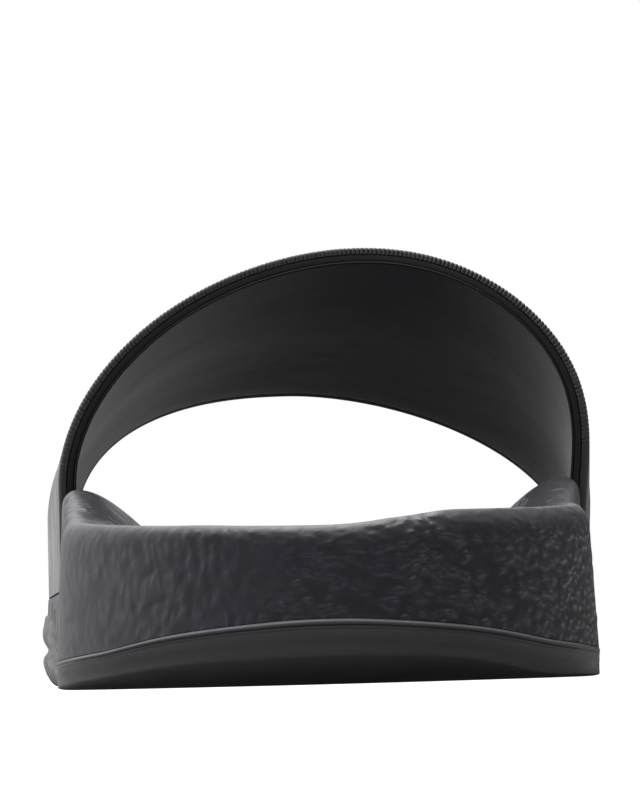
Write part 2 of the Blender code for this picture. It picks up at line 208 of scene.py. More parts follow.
# Side of the outsole from the floor to the lip: height as a share of the lip's, then shares of
# the heel bevel, of the side bevel, of the ribs' depth and of the lip's. The lower facet of the
# heel is straight, and a fine bead and a groove run under the lip.
OUTSOLE_SIDE = (
    # height  heel   side   rib    lip
    (0.000,  1.000, 1.000, 0.25, 0.00),
    (0.015,  0.968, 0.760, 0.28, 0.00),
    (0.050,  0.900, 0.480, 0.34, 0.05),
    (0.100,  0.810, 0.270, 0.42, 0.10),
    (0.160,  0.700, 0.120, 0.52, 0.16),
    (0.220,  0.590, 0.040, 0.68, 0.20),
    (0.280,  0.480, 0.010, 0.88, 0.20),
    (0.340,  0.370, 0.000, 1.00, 0.20),
    (0.395,  0.270, 0.000, 0.90, 0.20),
    (0.422,  0.220, 0.000, 0.75, 0.20),
    (0.434,  0.204, 0.000, 0.62, 0.20),
    (0.446,  0.196, 0.000, 0.48, 0.20),
    (0.490,  0.186, 0.000, 0.05, 0.20),
    (0.530,  0.179, 0.000, 0.00, 0.20),
    (0.570,  0.169, 0.000, 0.30, 0.20),
    (0.630,  0.145, 0.000, 0.75, 0.20),
    (0.700,  0.102, 0.000, 0.97, 0.20),
    (0.760,  0.066, 0.000, 1.00, 0.20),
    (0.820,  0.037, 0.000, 0.90, 0.20),
    (0.845,  0.030, 0.000, 0.82, 0.20),
    (0.856,  0.026, 0.000, 0.78, 0.42),
    (0.868,  0.022, 0.000, 0.76, 0.60),
    (0.882,  0.018, 0.000, 0.72, 0.66),
    (0.896,  0.014, 0.000, 0.68, 0.56),
    (0.906,  0.010, 0.000, 0.64, 0.30),
    (0.914,  0.006, 0.000, 0.60, 0.36),
    (0.922,  0.002, 0.000, 0.58, 0.84),
    (0.934,  0.000, 0.000, 0.56, 1.02),
    (0.950,  0.000, 0.000, 0.54, 1.08),
    (0.966,  0.000, 0.000, 0.50, 1.00),
    (0.980,  0.000, 0.000, 0.44, 0.80),
    (0.992,  0.000, 0.000, 0.32, 0.46),
    (1.000,  0.000, 0.000, 0.17, 0.30),
)

# Share of the lip's height at which the heel's lower facet ends, which sinks towards the sides
RIDGE = 0.446

# Strap from its rear edge (0) to its front edge (1): the crown's place as a share of the ball
# width, its height and the springing of its sides as shares of the instep rise, how full its
# outer and inner shoulders are, and how far its inner side swells, as a share of the ball width
STRAP = (
    # along  crown   top    spring outer  inner  bulge
    (0.00,  0.058, 0.979, 0.307, 1.83, 2.15, 0.025),
    (0.35,  0.016, 0.884, 0.258, 1.91, 2.01, 0.018),
    (0.70, -0.028, 0.792, 0.226, 2.11, 1.87, 0.008),
    (1.00, -0.064, 0.702, 0.200, 2.41, 1.76, 0.000),
)
STRAP_REAR_FOOT = 0.448
STRAP_REAR_CROWN = 0.468
STRAP_FRONT_FOOT = 0.768
STRAP_FRONT_CROWN = 0.738
HEEL_TREAD = (0.065, 0.300)
TOE_TREAD = (0.500, 0.835)
ARCH_REAR = (0.305, 0.365)
ARCH_FRONT = (0.430, 0.490)
SPRING_START = 0.790

# Creases of the moulded wall round the heel, given one by one: the place of a crease's middle
# along the wall from the heel's tip (towards the inner side) and above the floor, its length,
# its turn from level, its depth and its width, in millimetres and degrees
HEEL_CREASES = (
    # along height length turn depth width
    (-33.0, 15.5,  9.0,  82.0, 0.05, 0.85),
    (-31.5,  8.5,  8.0,  80.0, 0.06, 0.75),
    (-29.5, 13.0,  6.0,  86.0, 0.05, 0.70),
    (-28.0,  8.0,  8.5,  76.0, 0.07, 0.75),
    (-27.0, 16.0,  5.0,  70.0, 0.05, 0.75),
    (-25.5, 11.0,  7.0,  74.0, 0.07, 0.65),
    (-24.5,  6.8,  6.0,  70.0, 0.08, 0.65),
    (-23.5, 14.2,  5.5,  52.0, 0.07, 0.65),
    (-22.5, 10.4,  5.0,  40.0, 0.08, 0.60),
    (-21.5,  7.2,  6.5,  72.0, 0.08, 0.65),
    (-20.6, 12.8,  5.5, 104.0, 0.08, 0.60),
    (-19.8, 16.6,  3.6,  80.0, 0.06, 0.60),
    (-19.0,  9.6,  5.0,  66.0, 0.09, 0.60),
    (-18.3, 13.6,  4.0,  60.0, 0.08, 0.60),
    (-17.1, 10.8,  6.0, 110.0, 0.09, 0.65),
    (-16.0,  7.6,  5.0,  70.0, 0.08, 0.60),
    (-15.8, 15.4,  4.5,  64.0, 0.08, 0.60),
    (-14.6, 12.0,  4.6, 112.0, 0.09, 0.60),
    (-13.7,  9.0,  4.4,  74.0, 0.08, 0.60),
    (-12.8, 14.4,  4.0,  66.0, 0.07, 0.65),
    (-11.4, 10.8,  5.0,  82.0, 0.07, 0.65),
    ( -9.6, 13.6,  3.6,  60.0, 0.06, 0.65),
    ( -8.6, 10.0,  4.0,  96.0, 0.05, 0.75),
    (-13.6, 17.6,  3.2,   2.0, 0.12, 0.55),
    ( -9.4, 18.0,  4.4,  -1.0, 0.15, 0.55),
    ( -5.2, 17.5,  4.0,   2.0, 0.14, 0.55),
    ( -1.4, 18.1,  4.6,   0.0, 0.16, 0.55),
    (  2.8, 17.6,  4.2,   1.0, 0.16, 0.55),
    (  7.2, 18.1,  4.6,   2.0, 0.15, 0.55),
    (  9.6, 15.6,  4.0,   2.0, 0.11, 0.60),
    ( 11.6, 18.4,  4.6,   1.0, 0.15, 0.55),
    ( 14.2, 15.8,  4.0,   4.0, 0.12, 0.60),
    ( 16.4, 18.5,  4.6,  -6.0, 0.14, 0.55),
    ( 18.4, 16.4,  3.6,   4.0, 0.13, 0.60),
    ( 20.8, 18.0,  4.0,  -6.0, 0.14, 0.55),
    ( 21.4, 14.2,  3.4,  10.0, 0.12, 0.60),
    ( 23.4, 19.4,  4.0,   6.0, 0.13, 0.55),
    ( 24.4, 16.2,  3.6,  -6.0, 0.14, 0.55),
    ( 25.6, 12.4,  3.2,  12.0, 0.12, 0.60),
    ( 27.2, 18.0,  3.6,  -4.0, 0.14, 0.55),
    ( 28.2, 14.6,  3.2,   9.0, 0.13, 0.55),
    ( 29.4, 11.0,  3.2, -10.0, 0.12, 0.60),
    ( 30.6, 17.0,  3.2,   4.0, 0.14, 0.55),
    ( 31.6, 13.4,  3.0,  14.0, 0.13, 0.55),
    ( 33.0,  9.6,  3.2,  -8.0, 0.12, 0.60),
    ( 34.2, 16.0,  3.2,   8.0, 0.13, 0.55),
    ( 35.6, 12.2,  3.0,  16.0, 0.12, 0.60),
    (  2.0, 13.0,  3.6,   8.0, 0.06, 0.65),
    ( -3.6, 13.8,  3.2,  -6.0, 0.06, 0.65),
    ( 12.4, 12.4,  3.6,  10.0, 0.08, 0.60),
    ( 16.8, 12.0,  3.8,  -6.0, 0.09, 0.60),
    ( 21.6, 10.6,  3.4,  10.0, 0.10, 0.60),
)

# Creases along the two sides, scattered by a fixed draw: how many to a side, and the least and
# the most of what the table above gives for each, in the same order and units
SIDE_CREASE_COUNT = 120
SIDE_CREASES = {
    "along": (40.0, 250.0),
    "height": (4.0, 28.0),
    "length": (3.0, 6.5),
    "turn": (-25.0, 25.0),
    "depth": (0.05, 0.13),
    "width": (0.5, 0.9),
}

# Camera, fitted to the photograph: its place beside, behind and above the heel's tip on the
# floor, its roll, the height it looks at, and its focal length in pixels of the picture
CAMERA_SIDE = 0.00087
CAMERA_BACK = 0.388
CAMERA_HEIGHT = 0.0024
CAMERA_ROLL = math.radians(-1.55)
AIM_HEIGHT = 0.0335
IMAGE_HEIGHT = 812
FOCAL_PIXELS = 3230.0

# Soft lights: name, place and width
LIGHTS = (
    ("key", (-1.10, -0.10, 0.45), 1.1),
    ("top", (-0.15, 0.20, 1.30), 1.3),
    ("fill", (1.10, 0.25, 0.50), 0.9),
)
LIT_PLACE = (0.0, 0.0, 0.03)

# Brightness of the surroundings: all round, beyond the toes, on the outer side and overhead,
# and the share of the glow beyond the toes that is left on the inner side
BASE_GLOW = 0.045
TOE_GLOW = 1.35
OUTER_GLOW = 0.32
SKY_GLOW = 0.60
INNER_SHARE = 0.05
FLOOR_GLOW = 0.05

# Fineness of the meshes: points round the sole, rings up the footbed's lower and upper wall,
# its rounding, its slope and its middle, then samples and rows of the band
FOOTBED_POINTS = 860
OUTSOLE_POINTS = 560
LOWER_WALL_RINGS = 13
UPPER_WALL_RINGS = 23
ROUNDING_RINGS = 11
SLOPE_RINGS = 29
MIDDLE_RINGS = 14
BAND_SAMPLES = 800
FOOT_SAMPLES = 40
BAND_ROWS = 120

# Edges that turn more than this stay crisp, on every piece and on the grooved tread
CRISP_ANGLE = math.radians(48.0)
TREAD_CRISP_ANGLE = math.radians(40.0)

# Footbed's rim round the heel: how much less it is rounded there than along the sides, how much
# more on the inner side and at the outer corner, where these begin and end across the heel, and
# where along the sole the heel's own rounding ends
HEEL_ROUND_LOSS = 0.5 * MM
CORNER_ROUND_GAIN = 1.7 * MM
INNER_SIDE = (-20.0 * MM, 12.0 * MM)
OUTER_CORNER = (-32.0 * MM, -18.0 * MM)
HEEL_ROUND_END = (0.20, 0.40)

# Smoother skin of the rim, which is also painted lighter as a painted highlight: the part of the
# rounding over which it sets in, on the inner and on the outer side, how much of it the outer
# corner lacks, and what is left of it in the bed
INNER_SKIN_AND_HIGHLIGHT = (0.05, 0.60)
OUTER_SKIN_AND_HIGHLIGHT = (0.30, 0.95)
CORNER_SKIN_AND_HIGHLIGHT_LOSS = 0.5
BED_SKIN_AND_HIGHLIGHT = 0.5

# Share of the footbed wall's height where its two sets of rings meet away from the strap
WALL_SPLIT = 0.36

# Outsole: how much of its height the ridge loses beside the heel, where along the sole it sinks
# and rises again, how soon it sinks, how much the lip narrows there, and where its edge's painted
# highlight starts
RIDGE_SINK = 0.75
RIDGE_SINKS = (0.01, 0.12)
RIDGE_RISES = (0.25, 0.45)
SINK_RATE = 0.8
LIP_LOSS = 0.8
LIP_NARROWS = (0.03, 0.12)
LIP_HIGHLIGHT_RUN = (0.94, 0.972)

# Ribs of the cover: columns of the mesh to a rib, how far from the feet they fade in, how much
# they differ, how round they are, and how far and how deep they nick the band's edges
COLUMNS_A_RIB = 6
RIB_FADE = (8.0 * MM, 34.0 * MM)
RIB_DIFFERENCE = (0.6, 1.4)
RIB_ROUNDNESS = 0.96
NICK_REACH = 0.9 * MM
NICK_DEPTH = 2.2

# Rows of each layer: their distances in from both edges of the band in millimetres, how many
# lie between those, and how many are on the layer's back
COVER_ROWS = ((0.0, 0.03, 0.09, 0.18, 0.30, 0.45, 0.65, 0.90, 1.20, 1.60, 2.40), 10, 9)
CORE_ROWS = ((0.10, 0.14, 0.22, 0.34, 0.50, 1.5), 10, 24)
LINING_ROWS = ((0.0, 0.05, 0.12, 0.22, 0.35, 0.60, 1.0, 1.35, 1.6, 1.85, 2.6), 14, 28)
CORE_COLUMNS = 241
LINING_COLUMNS = 321

# Radii of the layers' edges, the layers' clearance, the cover's least thickness, and the
# lining's turned seam along the front edge
COVER_ROUND = 0.62 * MM
CORE_ROUND = 0.25 * MM
LINING_ROUND = 0.20 * MM
LAYER_CLEARANCE = 0.02 * MM
COVER_LEAST = 0.05 * MM
SEAM_PLACE = 1.6 * MM
SEAM_WIDTH = 0.25 * MM
SEAM_HEIGHT = 0.10 * MM


def linear(code):
    """A linear colour from an sRGB hex code."""
    values = [int(code[place:place + 2], 16) / 255.0 for place in (1, 3, 5)]
    return tuple(v / 12.92 if v <= 0.04045 else ((v + 0.055) / 1.055) ** 2.4 for v in values)


def size_property(name, description, value):
    """A length that a user would change."""
    return FloatProperty(name=name, description=description, default=value, min=0.0,
                         precision=5, unit="LENGTH", subtype="DISTANCE")


def colour_property(name, description, code):
    """A colour that a user would change."""
    return FloatVectorProperty(name=name, description=description, default=linear(code),
                               min=0.0, max=1.0, size=3, subtype="COLOR")


class SoleSettings(bpy.types.PropertyGroup):
    """Sizes and colours of the footbed and the outsole."""

    crease_scale: FloatProperty(
        name="Crease Depth", description="Depth of the wall's creases, as a share of the table's",
        default=1.0, min=0.0, max=2.0, subtype="FACTOR")
    grain: size_property("Grain", "Width of one cell of the moulded leather grain", 0.0014)
    grain_depth: size_property("Grain Depth", "Depth of the moulded leather grain", 0.00044)
    foam: colour_property("Foam", "Colour of the moulded foam", "#272331")
    # The rim colour is a painted highlight: the upward-facing rim is painted lighter than the foam
    rim: colour_property("Rim", "Colour of the smoother rim", "#3b393f")
    rubber: colour_property("Rubber", "Colour of the outsole", "#333335")
    # The lip colour is a painted highlight along the lip's edge
    lip: colour_property("Lip", "Colour of the lip's worn edge", "#6c6c72")


class StrapSettings(bpy.types.PropertyGroup):
    """Sizes and colours of the band's layers."""

    rib_pitch: size_property("Rib Pitch", "Distance between two ribs at the rear edge", 0.00070)
    rib_depth: size_property("Rib Depth", "Depth of the valleys between the ribs", 0.00012)
    cover: size_property("Cover", "Thickness of the ribbed outer layer", 0.00125)
    lining: size_property("Lining", "Thickness of the inner layer", 0.00040)
    cover_colour: colour_property("Cover Colour", "Colour of the ribbed outer layer", "#2c2c2f")
    core_colour: colour_property("Core Colour", "Colour of the middle layer's edge", "#0d0d0e")
    lining_colour: colour_property("Lining Colour", "Colour of the inner layer", "#16151c")


class StageSettings(bpy.types.PropertyGroup):
    """Floor and light."""

    floor_size: size_property("Floor Radius", "Radius of the floor", 1.5)
    floor_colour: colour_property("Floor Colour", "Colour of the floor", "#c4c4c4")
    key: FloatProperty(name="Key Light", description="Power of the light on the outer side",
                       default=4.0, min=0.0, unit="POWER")
    top: FloatProperty(name="Top Light", description="Power of the light overhead",
                       default=16.0, min=0.0, unit="POWER")
    fill: FloatProperty(name="Fill Light", description="Power of the light on the inner side",
                        default=0.5, min=0.0, unit="POWER")


def smooth(low, high, value):
    """A soft step from 0 at low to 1 at high."""
    share = np.clip((np.asarray(value, float) - low) / (high - low), 0.0, 1.0)
    return share * share * (3.0 - 2.0 * share)


def read(table, column, at):
    """A smooth curve through one column of a table, by its first column."""
    keys = np.array([row[0] for row in table])
    values = np.array([row[column] for row in table])
    secants = np.diff(values) / np.diff(keys)
    before = secants[:-1]
    after = secants[1:]
    total = before + after
    rising = before * after > 0.0
    inner = np.where(rising, 2.0 * before * after / np.where(rising, total, 1.0), 0.0)
    slopes = np.concatenate(([secants[0]], inner, [secants[-1]]))
    at = np.clip(np.asarray(at, float), keys[0], keys[-1])
    right = np.clip(np.searchsorted(keys, at), 1, len(keys) - 1)
    left = right - 1
    span = keys[right] - keys[left]
    share = (at - keys[left]) / span
    share2 = share * share
    share3 = share2 * share
    return (
        values[left] * (2 * share3 - 3 * share2 + 1)
        + slopes[left] * span * (share3 - 2 * share2 + share)
        + values[right] * (3 * share2 - 2 * share3)
        + slopes[right] * span * (share3 - share2)
    )


def end_round(along):
    """How the plan closes at the heel and at the toe: 0 at the tips and 1 between."""
    along = np.asarray(along, float)
    heel = np.sqrt(np.clip(1.0 - np.clip(1.0 - along / HEEL_ROUND, 0.0, 1.0) ** 2, 0.0, 1.0))
    reach = np.clip((along - 1.0 + TOE_ROUND) / TOE_ROUND, 0.0, 1.0)
    return heel * (1.0 - reach ** TOE_FULLNESS) ** (1.0 / TOE_FULLNESS)


def side_x(along, side):
    """The sole's edge at a station: side is -1 for the outer and +1 for the inner side."""
    return BALL_WIDTH * (read(PLAN, 1, along) + side * read(PLAN, 2, along) * end_round(along))


def toe_lift(y):
    """How far the toe spring lifts the sole at a place along it."""
    reach = np.clip((y / SOLE_LENGTH - SPRING_START) / (1.0 - SPRING_START), 0.0, 1.0)
    return TOE_SPRING * reach ** 2


def arch_lift(y):
    """How far the underside of the waist lies above the two treads."""
    along = y / SOLE_LENGTH
    return ARCH_LIFT * (smooth(*ARCH_REAR, along) - smooth(*ARCH_FRONT, along))


def lip_height(along):
    """Height of the outsole's lip above its underside."""
    rises = zip((1, 2, 3), (HEEL_LIP_RISE, SIDE_LIP_RISE, TOE_LIP_RISE))
    return TREAD_THICKNESS + sum(rise * read(LIP, column, along) for column, rise in rises)


def rim_height(along, side):
    """Height of the footbed's rim, which rises beside the strap."""
    low = RIM_HEIGHT * np.where(side < 0, read(RIM, 1, along), read(RIM, 2, along))
    return low + (SIDE_RIM_HEIGHT - low) * read(RISE, 1, along)


def bed_height(along, side, depth):
    """Height of the footbed at a depth inward from the rim's crest."""
    reach = DISH_REACH * (1.0 + DISH_SPREAD * read(RISE, 1, along))
    share = np.clip(depth / reach, 0.0, 1.0)
    rim = rim_height(along, side)
    return rim + (BED_HEIGHT * read(BED, 1, along) - rim) * share * share * (3.0 - 2.0 * share)


def heel_share(along):
    """1 at the back of the heel, where the bevel is long, and 0 from its sides on."""
    return 1.0 - smooth(HEEL_TIP, HEEL_ROUND, along)


def frame_shift():
    """What carries a point from the heel's own axes to the frame's."""
    stations = np.linspace(0.0, 1.0, 400)
    middle = (side_x(stations, -1.0).min() + side_x(stations, 1.0).max()) / 2.0
    low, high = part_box("outsole")
    return np.array(((low.x + high.x) / 2.0 - middle, low.y + LIP_PROUD, 0.0))


class Plan:
    """Places, outward directions, stations and sides round the sole, from the heel's tip."""

    def __init__(self, count, extra=()):
        angles = 2.0 * math.pi * np.arange(count) / count
        marks = np.arccos(1.0 - 2.0 * np.array(extra))
        angles = np.unique(np.concatenate((angles, marks, 2.0 * math.pi - marks)))
        self.stations = (1.0 - np.cos(angles)) / 2.0
        self.sides = np.where(angles < math.pi, -1.0, 1.0)
        across = side_x(self.stations, self.sides)
        self.places = np.stack((across, self.stations * SOLE_LENGTH), axis=1)
        tangents = np.roll(self.places, -1, axis=0) - np.roll(self.places, 1, axis=0)
        self.normals = np.stack((-tangents[:, 1], tangents[:, 0]), axis=1)
        self.normals /= np.linalg.norm(self.normals, axis=1)[:, None]
        steps = np.linalg.norm(np.diff(self.places, axis=0), axis=1)
        run = np.concatenate(([0.0], np.cumsum(steps)))
        loop = run[-1] + np.linalg.norm(self.places[0] - self.places[-1])
        self.distance = np.where(self.sides < 0, -run, loop - run)
        held = np.clip(self.stations, *SPINE)
        self.spine = np.stack((BALL_WIDTH * read(PLAN, 1, held), held * SOLE_LENGTH), axis=1)

    def ring(self, depths, heights, arched):
        """A ring of points at depths in from the edge."""
        flat = self.places - self.normals * (depths * np.ones(len(self.places)))[:, None]
        return self.lifted(flat, heights, arched)

    def core(self, depth, share, heights, arched):
        """A ring between one at a depth (share 1) and the spine (share 0)."""
        edge = self.places - self.normals * depth
        return self.lifted(self.spine + (edge - self.spine) * share, heights, arched)

    def lifted(self, flat, heights, arched):
        """Points with their heights, lifted by the toe spring and, if arched, by the waist."""
        lift = toe_lift(flat[:, 1]) + (arch_lift(flat[:, 1]) if arched else 0.0)
        return np.column_stack((flat, heights * np.ones(len(flat)) + lift))


def ring_mesh(name, rings, attributes=None):
    """A closed mesh through rings of points, whose first and last rings lie on the spine."""
    rings = np.array(rings)
    rows, count = rings.shape[:2]
    here = np.arange(count)
    ahead = (here + 1) % count
    faces = []
    for row in range(rows - 1):
        low = row * count
        high = low + count
        faces.append(np.stack((low + here, high + here, high + ahead, low + ahead), axis=1))
    data = bpy.data.meshes.new(name)
    data.from_pydata((rings.reshape(-1, 3) + SHIFT).tolist(), [], np.concatenate(faces).tolist())
    for key, values in (attributes or {}).items():
        layer = data.attributes.new(key, "FLOAT", "POINT")
        layer.data.foreach_set("value", np.array(values, np.float32).ravel())
    shape = bmesh.new()
    shape.from_mesh(data)
    bmesh.ops.remove_doubles(shape, verts=shape.verts[:], dist=1e-6)
    bmesh.ops.recalc_face_normals(shape, faces=shape.faces[:])
    shape.to_mesh(data)
    shape.free()
    return data


def piece(name, data, material, node):
    """Put a mesh in the scene as the piece that stands for a node."""
    item = bpy.data.objects.new(name, data)
    bpy.context.scene.collection.objects.link(item)
    data.materials.append(material)
    data.shade_smooth()
    data.set_sharp_from_angle(angle=CRISP_ANGLE)
    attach(item, "root")
    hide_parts(node)
    return item


def strap_point(rise, side, row):
    """Points of the strap's outer face, from its foot (-1) past the springing (0) to its top (1)."""
    lift = smooth(0.0, 1.0, rise)
    rear = STRAP_REAR_FOOT + (STRAP_REAR_CROWN - STRAP_REAR_FOOT) * lift
    front = STRAP_FRONT_FOOT + (STRAP_FRONT_CROWN - STRAP_FRONT_FOOT) * lift
    along = rear + (front - rear) * row
    crown = BALL_WIDTH * read(STRAP, 1, row)
    top = STRAP_FOOT_HEIGHT + INSTEP_RISE * read(STRAP, 2, row)
    spring = STRAP_FOOT_HEIGHT + INSTEP_RISE * read(STRAP, 3, row)
    power = 2.0 / np.where(side < 0, read(STRAP, 4, row), read(STRAP, 5, row))
    foot = side_x(along, side) - side * STRAP_INSET
    angle = np.clip(rise, 0.0, 1.0) * math.pi / 2.0
    x = crown + (foot - crown) * np.clip(np.cos(angle), 0.0, 1.0) ** power
    z = spring + (top - spring) * np.sin(angle) ** power
    z = z + (spring - STRAP_FOOT_HEIGHT) * np.minimum(rise, 0.0)
    swell = (z - spring - (top - spring) * SWELL_PLACE) / (INSTEP_RISE * SWELL_REACH)
    x = x + np.where(side > 0, BALL_WIDTH * read(STRAP, 6, row) * np.exp(-swell * swell), 0.0)
    y = along * SOLE_LENGTH
    return np.stack((x, y, z + toe_lift(y)), axis=-1)


class Band:
    """The strap's outer face as a grid: columns across the foot, rows from rear to front."""

    def __init__(self, columns):
        turns = np.linspace(0.0, math.pi, BAND_SAMPLES)
        foot = np.linspace(-1.0, -1.0 / FOOT_SAMPLES, FOOT_SAMPLES)
        climb = np.concatenate((foot, (1.0 - np.cos(turns)) / 2.0))
        rises = np.concatenate((climb, climb[-2::-1]))
        sides = np.where(np.arange(len(rises)) < len(climb), -1.0, 1.0)
        rows = np.linspace(0.0, 1.0, BAND_ROWS)
        grid = strap_point(rises[:, None], sides[:, None], rows[None, :])
        steps = np.linalg.norm(np.diff(grid, axis=0), axis=2)
        runs = np.concatenate((np.zeros((1, BAND_ROWS)), np.cumsum(steps, axis=0)))
        self.length = runs[-1]
        shares = np.linspace(0.0, 1.0, columns)
        self.faces = np.empty((columns, BAND_ROWS, 3))
        for row in range(BAND_ROWS):
            for axis in range(3):
                self.faces[:, row, axis] = np.interp(
                    shares * runs[-1, row], runs[:, row], grid[:, row, axis])
        across = np.gradient(self.faces, axis=0)
        ahead = np.gradient(self.faces, axis=1)
        self.normals = np.cross(across, ahead)
        self.normals /= np.linalg.norm(self.normals, axis=2)[:, :, None]
        steps = np.linalg.norm(np.diff(self.faces, axis=1), axis=2)
        self.runs = np.concatenate((np.zeros((columns, 1)), np.cumsum(steps, axis=1)), axis=1)
        self.widths = self.runs[:, -1]
        self.shares = shares

    def at(self, places):
        """Points and normals of every column at places from the rear edge (columns x rows)."""
        points = np.empty(places.shape + (3,))
        normals = np.empty(places.shape + (3,))
        for column in range(len(places)):
            for axis in range(3):
                points[column, :, axis] = np.interp(
                    places[column], self.runs[column], self.faces[column, :, axis])
                normals[column, :, axis] = np.interp(
                    places[column], self.runs[column], self.normals[column, :, axis])
        return points, normals


def edge_places(widths, steps, between):
    """Places across a band, and how far each lies from the nearer edge.

    They lie at fixed steps from both edges, in millimetres, with an even run between them.
    """
    steps = np.array(steps) * MM
    rear = np.repeat(steps[None, :], len(widths), axis=0)
    front = widths[:, None] - rear[:, ::-1]
    shares = np.linspace(0.0, 1.0, between + 2)[1:-1]
    middle = steps[-1] + (widths[:, None] - 2.0 * steps[-1]) * shares[None, :]
    places = np.concatenate((rear, middle, front), axis=1)
    return places, np.minimum(places, widths[:, None] - places)


def rounding(distance, radius):
    """How far a rounded edge falls back at a distance from it."""
    short = np.clip(radius - distance, 0.0, radius)
    return radius - np.sqrt(radius * radius - short * short)


def layer_mesh(name, band, places, outer, back_rows, inner):
    """A closed layer of the band between two depths under its outer face."""
    points, normals = band.at(places)
    face = points - normals * outer[:, :, None]
    picks = np.unique(np.linspace(0, places.shape[1] - 1, back_rows).astype(int))
    back = (points - normals * inner[:, :, None])[:, picks]
    loop = np.concatenate((face, back[:, ::-1]), axis=1)
    columns, count = loop.shape[:2]
    here = np.arange(count)
    ahead = (here + 1) % count
    faces = []
    for column in range(columns - 1):
        low = column * count
        high = low + count
        faces.append(np.stack((low + here, low + ahead, high + ahead, high + here), axis=1))
    faces = np.concatenate(faces).tolist()
    faces.append(list(range(count - 1, -1, -1)))
    faces.append(list(range((columns - 1) * count, columns * count)))
    data = bpy.data.meshes.new(name)
    data.from_pydata((loop.reshape(-1, 3) + SHIFT).tolist(), [], faces)
    shape = bmesh.new()
    shape.from_mesh(data)
    bmesh.ops.triangulate(shape, faces=[face for face in shape.faces if len(face.verts) > 4])
    bmesh.ops.recalc_face_normals(shape, faces=shape.faces[:])
    shape.to_mesh(data)
    shape.free()
    return data


def add_node(tree, kind, inputs=None, **settings):
    """Add a node with its settings; each input is a value or another node's output."""
    made = tree.nodes.new(kind)
    for key, value in settings.items():
        setattr(made, key, value)
    for key, value in (inputs or {}).items():
        if isinstance(value, bpy.types.NodeSocket):
            tree.links.new(value, made.inputs[key])
        else:
            made.inputs[key].default_value = value
    return made


def object_place(tree):
    """Places on the piece, in metres."""
    return add_node(tree, "ShaderNodeTexCoord").outputs["Object"]


def map_range(tree, value, low, high, to_low=0.0, to_high=1.0, kind="LINEAR"):
    """A value carried from one range to another and held inside it."""
    return add_node(tree, "ShaderNodeMapRange", {
        "Value": value, "From Min": low, "From Max": high, "To Min": to_low, "To Max": to_high,
    }, interpolation_type=kind).outputs["Result"]


def calculate(tree, operation, first, second, third=0.0):
    """Arithmetic on two or three values."""
    return add_node(tree, "ShaderNodeMath", {0: first, 1: second, 2: third},
                    operation=operation).outputs[0]


def calculate_place(tree, operation, first, second):
    """Arithmetic on two places."""
    return add_node(tree, "ShaderNodeVectorMath", {0: first, 1: second},
                    operation=operation).outputs[0]


def noise(tree, place, size, detail, output="Fac"):
    """Cloudy noise with lumps of a size in metres."""
    return add_node(tree, "ShaderNodeTexNoise", {
        "Vector": place, "Scale": 1.0 / size, "Detail": detail,
    }).outputs[output]


def bump(tree, height, strength, depth, under=None):
    """A relief of a depth in metres, laid over another one."""
    inputs = {"Height": height, "Strength": strength, "Distance": depth}
    if under is not None:
        inputs["Normal"] = under
    return add_node(tree, "ShaderNodeBump", inputs).outputs["Normal"]


def blend(tree, share, low, high):
    """A value between two others."""
    return add_node(tree, "ShaderNodeMix", {"Factor": share, 2: low, 3: high},
                    data_type="FLOAT").outputs[0]


def blend_colours(tree, share, low, high):
    """A colour between two others."""
    return add_node(tree, "ShaderNodeMix", {"Factor": share, 6: low, 7: high},
                    data_type="RGBA").outputs[2]


def new_material(name, colour, roughness, ior=1.5):
    """A material with the values that are the same all over its surface."""
    material = bpy.data.materials.new(name)
    material.use_nodes = True
    shader = material.node_tree.nodes["Principled BSDF"]
    shader.inputs["Base Color"].default_value = (*colour, 1.0)
    shader.inputs["Roughness"].default_value = roughness
    shader.inputs["IOR"].default_value = ior
    material.diffuse_color = (*colour, 1.0)
    return material, material.node_tree, shader


